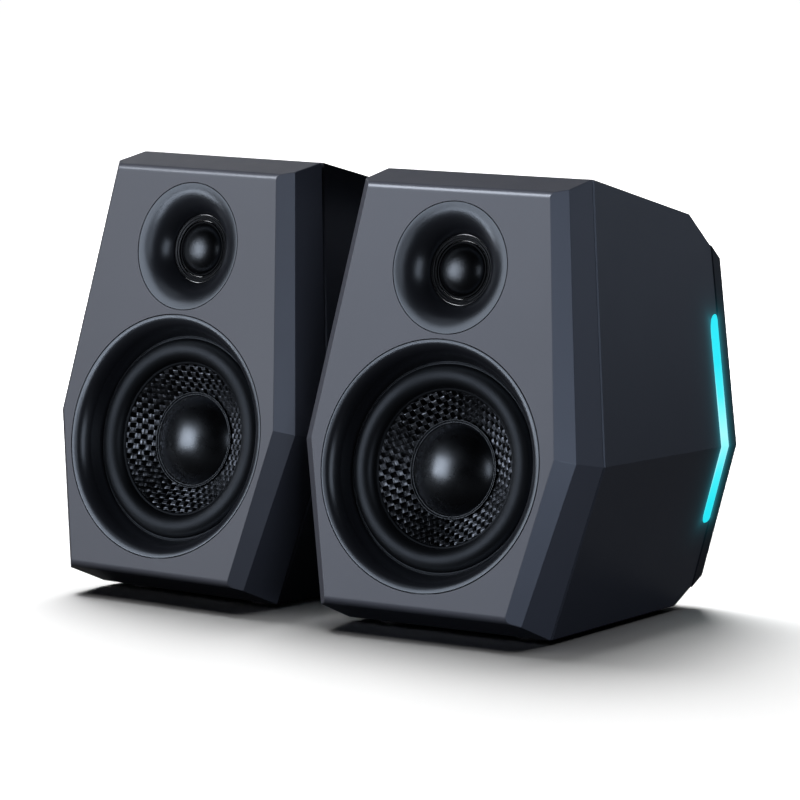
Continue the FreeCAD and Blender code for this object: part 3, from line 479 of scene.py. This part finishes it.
def dress_cad_nodes():
    """Each CAD node that stays on show gets its slot's material."""
    slots = {part["node"]: part["material_slot"] for part in record["subparts"]}
    for name, obj in frame["nodes"].items():
        side = name.split("_")[0]
        if slots[name] == "light_plastic":
            material = light_guide(side + "_light_plastic", obj, side)
        # housings and rear covers get their slot's plastic with a painted glow from the light bar
        elif name.endswith(("_housing", "_rear_cover")):
            material = painted_bar_glow(MATERIALS[slots[name]], obj, side)
        else:
            material = MATERIALS[slots[name]]
        obj.data.materials.clear()
        obj.data.materials.append(material)


# ================================================================ the drivers
def put(side, piece, bm, up, body, material, turn=0.0):
    """Puts one piece of a driver on its body, in place of its CAD node, turned about the driver's axis."""
    name = f"{side}_{piece}_piece"
    place = driver_frame(side, up) @ Matrix.Rotation(-turn, 4, "Y")
    obj = new_object(name, bm, place, MATERIALS[material], f"{side}_{body}")
    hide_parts(f"{side}_{piece}")
    return obj


def trim_ring(side):
    """The flared ring: a lip that rolls in from the baffle to a crease, and a steep dark wall behind it."""
    crease = (TRIM_CREASE_R, TRIM_CREASE_DEPTH)
    bm = lathe([
        (TRIM_R, 0.3), ((TRIM_R, 0.12), (TRIM_R - 0.12, 0.0), (TRIM_R - 0.3, 0.0)),
        ((TRIM_R - 2.6, 0.1), (42.3, 2.2), crease),
        (TRIM_CREASE_R - 0.15, TRIM_CREASE_DEPTH + 0.25), (TRIM_THROAT_R, TRIM_DEPTH - 0.3),
        (TRIM_THROAT_R, TRIM_DEPTH), (42.2, TRIM_DEPTH), (42.2, 8.2), (45.0, WALL + 1.6), (47.8, WALL + 1.6),
        (47.8, WALL + 0.1), (TRIM_R, WALL + 0.1)], 192, 24)
    return sharp_by_angle(put(side, "woofer_trim_ring", bm, WOOFER_AT, "cabinet", "trim_plastic"))


def surround(side):
    """The half-roll, with a thin bead round its flange and a thin lip on the cone."""
    back = BASKET_FRONT - 0.05
    flange = TRIM_DEPTH + 0.05
    bead = 39.1
    bm = lathe([
        (41.8, flange), (41.8, back), (38.0, back),
        ((37.2, 7.7), (30.8, 7.7), (30.2, back + 0.35)),
        (28.9, back + 0.75), (28.7, back + 0.55),
        ((28.7, back + 0.3), (28.9, back + 0.15), (29.2, back + 0.05)),
        (29.6, back - 0.1), ((30.3, 6.4), (37.7, 6.4), (38.6, flange)),
        (bead - 0.2, flange),
        ((bead - 0.2, flange - 0.3), (bead + 0.2, flange - 0.3), (bead + 0.25, flange))], 160, 20)
    return sharp_by_angle(put_bending(side, "woofer_surround", bm, "surround_rubber", 38.4, 30.0))


def spider(side):
    """The corrugated cloth disc behind the cone."""
    half_waves, parts = 2 * SPIDER_WAVES, 6
    step = (SPIDER_WAVES_END - SPIDER_R_IN) / half_waves
    centre = []
    for i in range(half_waves * parts + 1):
        along = i / parts
        fade = min(1.0, along, half_waves - along)
        centre.append((SPIDER_R_IN + along * step, SPIDER_DEPTH - SPIDER_RISE * cos(pi * along) * fade))
    centre.append((SPIDER_R_OUT, SPIDER_DEPTH))
    front = [(radius, depth - SPIDER_HALF_THICK) for radius, depth in centre]
    back = [(radius, depth + SPIDER_HALF_THICK) for radius, depth in centre]
    return put_bending(side, "woofer_spider", lathe(front + back[::-1]), "spider_cloth", 28.0, 14.5)


def put_bending(side, piece, bm, material, fixed_r, moving_r):
    """Puts a ring round the woofer in place of its CAD node, with its place baked into the mesh; it rides on
    no body.
    """
    place = driver_frame(side, WOOFER_AT)
    obj = new_object(f"{side}_{piece}_piece", bm, place, MATERIALS[material], None)
    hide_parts(f"{side}_{piece}")
    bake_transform(obj)
    back = place.inverted()
    for vertex in obj.data.vertices:
        at = back @ vertex.co
        share = (fixed_r - hypot(at.x, at.z)) / (fixed_r - moving_r)
        share = min(1.0, max(0.0, share))
    return obj


def weave_height(x, z):
    """Height of the cloth's surface over its mean, at a point of the flat cloth: the higher tow there."""
    i, j = floor(x / TOW_PITCH), floor(z / TOW_PITCH)
    off_x = 2 * (x / TOW_PITCH - i) - 1
    off_z = 2 * (z / TOW_PITCH - j) - 1
    sign = 1 if (i + j) % 2 == 0 else -1
    up = sign * TOW_WAVE * cos(pi * off_z / 2) + TOW_CROWN * (1 - off_x * off_x)
    across = -sign * TOW_WAVE * cos(pi * off_x / 2) + TOW_CROWN * (1 - off_z * off_z)
    return max(up, across) - TOW_CROWN


def woofer_cone(side):
    """The cone, with every tow of its cloth as real relief where it shows."""
    segments, steps = 720, 56
    radii = [WEAVE_R_OUT - (WEAVE_R_OUT - WEAVE_R_IN) * i / steps for i in range(steps + 1)]
    slope = atan2(CONE_NECK_DEPTH - CONE_FRONT, CONE_R - CONE_NECK_R)
    bm = bmesh.new()
    rings = []
    for radius in radii:
        fade = min(1.0, (WEAVE_R_OUT - radius) / 0.5)
        here = []
        for i in range(segments):
            angle = 2 * pi * i / segments
            x, z = radius * cos(angle), radius * sin(angle)
            rise = weave_height(x, z) * fade
            lean = rise * sin(slope)
            depth = cone_depth(radius) + CLOTH_SINK - rise * cos(slope)
            here.append(bm.verts.new((x - lean * cos(angle), depth, z - lean * sin(angle))))
        rings.append(here)
    coarse = [(CONE_NECK_R, CONE_NECK_DEPTH), (CONE_NECK_R, CONE_NECK_DEPTH + SKIN),
              (WEAVE_R_OUT, cone_depth(WEAVE_R_OUT) + SKIN)]
    for radius, depth in coarse:
        rings.append(circle(bm, radius, depth, segments))
    for a, b in list(zip(rings, rings[1:])) + [(rings[-1], rings[0])]:
        for i in range(segments):
            j = (i + 1) % segments
            bm.faces.new((a[i], b[i], b[j], a[j]))
    return put(side, "woofer_cone", bm, WOOFER_AT, "woofer_moving", "woven_cone", TOW_TURN[side])


def dust_cap(side):
    """The domed cap, and a narrow flange on the cone's slope with a fine bead at each edge."""
    rim, top = CAP_RIM_DEPTH, CAP_RIM_DEPTH - CAP_HEIGHT
    inner, outer = (CAP_R, rim + 0.62), (CAP_RIM_R, rim + 0.05)
    bm = lathe([
        (0, top), ((7.4, top), (13.9, rim - 3.1), (CAP_R - 0.06, rim + 0.5)), inner,
        ((CAP_R, rim + 0.1), (CAP_R + 0.4, rim), (CAP_R + 0.45, rim + 0.42)),
        (CAP_RIM_R - 0.4, rim + 0.22),
        ((CAP_RIM_R - 0.38, rim - 0.12), (CAP_RIM_R - 0.02, rim - 0.3), outer),
        (CAP_RIM_R, rim + SKIN), (CAP_R - 0.3, rim + SKIN + 0.6),
        ((13.0, rim - 2.7), (7.2, top + SKIN), (0, top + SKIN))], 160, 18)
    return sharp_by_angle(put(side, "woofer_dust_cap", bm, WOOFER_AT, "woofer_moving", "gloss_black"), 50)


def horn(side):
    bm = lathe([
        (HORN_R, 0.3), ((HORN_R, 0.12), (HORN_R - 0.05, 0.03), (HORN_R - 0.2, 0.03)),
        ((20.4, 0.25), (15.4, 2.5), (HORN_THROAT_R, HORN_DEPTH)), (HORN_THROAT_R, HORN_DEPTH + 0.8),
        (17.0, HORN_DEPTH + 0.8), (17.0, 6.6), (22.4, WALL + 1.5), (25.0, WALL + 1.5), (25.0, WALL + 0.1),
        (HORN_R, WALL + 0.1)], 160, 28)
    return sharp_by_angle(put(side, "tweeter_horn", bm, TWEETER_AT, "cabinet", "trim_plastic"), 50)


def tweeter_ring(side):
    """The dark clamping ring, sloping in to the dome, with its three fine raised lines."""
    def face(radius):
        return HORN_DEPTH + 0.15 + (RING_R_OUT - radius) * RING_SLOPE

    def line(radius, half, height):
        top = face(radius) - height * 1.33
        return [(radius - half, face(radius - half)),
                ((radius - half, top), (radius + half, top), (radius + half, face(radius + half)))]

    back = HORN_DEPTH + 1.6
    lines = line(11.10, 0.17, 0.30) + line(12.00, 0.20, 0.36) + line(12.84, 0.10, 0.16)
    bm = lathe([(RING_R_IN, face(RING_R_IN))] + lines
               + [(RING_R_OUT, face(RING_R_OUT)), (RING_R_OUT, back), (RING_R_IN, back)], 160, 10)
    return sharp_by_angle(put(side, "tweeter_ring", bm, TWEETER_AT, "cabinet", "ring_metal"), 60)


def tweeter_dome(side):
    """The soft dome and, round it, its dull suspension roll."""
    top = DOME_BASE - DOME_HEIGHT
    bm = lathe([
        (0, top), ((5.6, top), (8.7, DOME_BASE - 2.1), (DOME_R, DOME_BASE)),
        ((DOME_R + 0.3, DOME_BASE - 0.5), (10.5, DOME_BASE - 0.5), (10.7, DOME_BASE + 0.05)),
        (10.7, DOME_BASE + 0.3), (DOME_R - 0.2, DOME_BASE + 0.3),
        ((8.4, DOME_BASE - 1.8), (5.4, top + 0.3), (0, top + 0.3))], 96, 16)
    obj = put(side, "tweeter_dome", bm, TWEETER_AT, "tweeter_moving", "dome_fabric")
    obj.data.materials.append(MATERIALS["dome_roll"])
    for face in obj.data.polygons:
        if hypot(face.center.x, face.center.z) > DOME_R * MM:
            face.material_index = 1
    return sharp_by_angle(obj, 60)


# ================================================================ stage
CAMERA_FROM_WOOFER = Vector((0.8837, -1.4112, 0.2237))
CAMERA_RIGHT = Vector((0.8432, 0.5375, 0.0131))
CAMERA_UP = Vector((-0.0749, 0.0933, 0.9928))
CAMERA_LENS = 206.7
FLOOR_HALF = 8.0
FLOOR_TO_OBJECT, FLOOR_TO_CAMERA = 0.035, 0.92
WORLD_ON_OBJECT = 0.002


# name, what it lights, azimuth and elevation in degrees, distance, width, height, radiance
SOFTBOXES = (
    ("front_left", "fronts", -36, 12, 1.6, 1.1, 1.2, 2.1),
    ("front_high", "fronts", -40, 45, 1.6, 0.9, 0.7, 18.0),
    ("back_low", "fronts", -148, 9, 1.8, 1.4, 0.4, 2.9),
    ("right_strip", "sides", 52, 16, 1.7, 0.7, 0.9, 3.2),
    ("right_low", "right_bevel", 54, -1, 1.4, 0.7, 0.12, 18.0),
    ("back_right", "sides", 148, 14, 1.8, 1.2, 0.8, 0.44),
    ("right_high", "sides", 95, 36, 1.7, 0.8, 0.8, 0.3),
    ("left_strip", "left_bevel", 52, 16, 1.7, 0.7, 0.9, 2.0),
    ("left_low", "left_bevel", 54, -1, 1.4, 0.7, 0.12, 8.0),
    ("ring_box", "rings", -36, 12, 1.6, 1.1, 1.3, 5.2),
    ("ring_high", "rings", -40, 45, 1.6, 0.9, 0.7, 0.8),
    ("ring_front", "rings", 0, 8, 1.6, 0.5, 1.0, 2.4),
    ("ring_low", "rings", -36, -5, 0.5, 0.5, 0.05, 14.0),
    ("ring_strip", "rings", 62, 10, 1.7, 0.6, 1.2, 3.4),
    ("driver_box", "drivers", -34, 8, 1.6, 0.9, 0.9, 3.6),
    ("driver_left", "drivers", -68, 6, 1.6, 0.5, 0.9, 2.0),
    ("driver_strip", "drivers", 50, 12, 1.7, 0.4, 1.0, 2.8),
    ("dome_box", "domes", -36, 8, 1.6, 0.75, 0.8, 11.0),
    ("dome_strip", "domes", 51, 12, 1.7, 0.3, 0.6, 5.0),
    ("floor_back", "floor", -137, 58, 2.2, 1.4, 1.4, 13.0),
    ("floor_top", "floor", 0, 85, 2.2, 2.2, 2.2, 0.8),
)
LIGHT_TINTS = {"sides": (0.76, 0.85, 1.0), "right_bevel": (0.76, 0.85, 1.0), "left_bevel": (0.76, 0.85, 1.0),
               "rings": (0.90, 0.95, 1.0), "drivers": (0.86, 0.92, 1.0), "domes": (0.92, 0.96, 1.0)}


def camera():
    data = bpy.data.cameras.new("camera")
    data.lens = CAMERA_LENS
    data.sensor_width = 36.0
    data.clip_start, data.clip_end = 0.05, 50.0
    obj = bpy.data.objects.new("camera", data)
    bpy.context.scene.collection.objects.link(obj)
    right, up = CAMERA_RIGHT.normalized(), CAMERA_UP.normalized()
    back = right.cross(up).normalized()
    up = back.cross(right)
    woofer = cabinet_frame("right") @ Vector((0, 0, WOOFER_Z))
    turn = Matrix((right, up, back)).transposed().to_4x4()
    obj.matrix_world = Matrix.Translation(woofer + CAMERA_FROM_WOOFER) @ turn
    bpy.context.scene.camera = obj


def soft_light(name, group, tint, azimuth, elevation, distance, width, height, radiance):
    """A rectangular softbox that faces the pair and lights one group of objects, as if flagged off the rest;
    azimuth 0 is straight in front and 90 to its right."""
    data = bpy.data.lights.new(name, "AREA")
    data.shape = "RECTANGLE"
    data.size, data.size_y = width, height
    data.energy = radiance * pi * width * height
    data.color = tint
    obj = bpy.data.objects.new(name, data)
    bpy.context.scene.collection.objects.link(obj)
    a, e = radians(azimuth), radians(elevation)
    target = Vector((0, 0, 0.085))
    away = Vector((sin(a) * cos(e), -cos(a) * cos(e), sin(e)))
    obj.location = target + away * distance
    obj.rotation_mode = "QUATERNION"
    obj.rotation_quaternion = (-away).to_track_quat("-Z", "Y")
    obj.light_linking.receiver_collection = group


def floor_and_world():
    """A white floor that runs into a white background. The object itself sees a dimmer floor and world, as it
    would among the black flags of a product studio."""
    bm = bmesh.new()
    bmesh.ops.create_grid(bm, x_segments=2, y_segments=2, size=FLOOR_HALF)
    mesh = bpy.data.meshes.new("floor")
    bm.to_mesh(mesh)
    bm.free()
    n = Nodes("floor")
    path = n.add("ShaderNodeLightPath").outputs["Is Camera Ray"]
    paint = n.add("ShaderNodeMix", {0: path, 6: grey(FLOOR_TO_OBJECT), 7: grey(FLOOR_TO_CAMERA)},
                  data_type="RGBA")
    n.link(paint.outputs[2], "Base Color")
    place = n.add("ShaderNodeTexCoord").outputs["Object"]
    distance = n.add("ShaderNodeVectorMath", {0: place}, operation="LENGTH").outputs["Value"]
    fade = n.add("ShaderNodeMapRange", {"Value": distance, "From Min": 0.28, "From Max": 0.60},
                 interpolation_type="SMOOTHSTEP")
    n.link(n.math("MULTIPLY", fade.outputs["Result"], path), "Emission Strength")
    n.set(Emission_Color=(1, 1, 1, 1), Roughness=0.9, Specular_IOR_Level=0.1)
    mesh.materials.append(n.material)
    obj = bpy.data.objects.new("floor", mesh)
    bpy.context.scene.collection.objects.link(obj)
    world = bpy.data.worlds.new("world")
    bpy.context.scene.world = world
    world.use_nodes = True
    tree = world.node_tree
    tree.nodes.clear()
    path = tree.nodes.new("ShaderNodeLightPath")
    dim = tree.nodes.new("ShaderNodeBackground")
    dim.inputs["Color"].default_value = (0.85, 0.9, 1.0, 1)
    dim.inputs["Strength"].default_value = WORLD_ON_OBJECT
    white = tree.nodes.new("ShaderNodeBackground")
    mix = tree.nodes.new("ShaderNodeMixShader")
    out = tree.nodes.new("ShaderNodeOutputWorld")
    white.inputs["Color"].default_value = (1, 1, 1, 1)
    tree.links.new(path.outputs["Is Camera Ray"], mix.inputs[0])
    tree.links.new(dim.outputs[0], mix.inputs[1])
    tree.links.new(white.outputs[0], mix.inputs[2])
    tree.links.new(mix.outputs[0], out.inputs["Surface"])


def light_groups(name):
    """What may light a mesh: floor lights; ring lights for the flared rings and horns; dome lights for the
    two domes of each speaker; driver lights for the rest of the drivers; and for a CAD node the front lights,
    with the side lights too unless it is the left one's. Each bezel has bevel lights of its own as well."""
    if name == "floor":
        return ["floor"]
    if name.endswith("_piece"):
        if "trim_ring" in name or "horn" in name:
            return ["rings"]
        if "dust_cap" in name or "dome" in name:
            return ["domes"]
        return ["drivers"]
    groups = ["fronts"]
    if not name.startswith("left_"):
        groups.append("sides")
    if name.endswith("_front_bezel"):
        groups.append(name.split("_")[0] + "_bevel")
    return groups


def lights():
    """Sorts the meshes into their light groups and sets up the softboxes."""
    groups = {}
    for obj in bpy.context.scene.collection.all_objects:
        if obj.type != "MESH":
            continue
        for name in light_groups(obj.name):
            if name not in groups:
                groups[name] = bpy.data.collections.new("lit_" + name)
            groups[name].objects.link(obj)
    for name, group, azimuth, elevation, distance, width, height, radiance in SOFTBOXES:
        tint = LIGHT_TINTS.get(group, (1.0, 1.0, 1.0))
        soft_light(name, groups[group], tint, azimuth, elevation, distance, width, height, radiance)


# ================================================================ building
dress_cad_nodes()
for side in SIDES:
    trim_ring(side)
    surround(side)
    spider(side)
    woofer_cone(side)
    dust_cap(side)
    horn(side)
    tweeter_ring(side)
    tweeter_dome(side)
floor_and_world()
lights()
camera()
bpy.context.scene.view_settings.view_transform = "Standard"
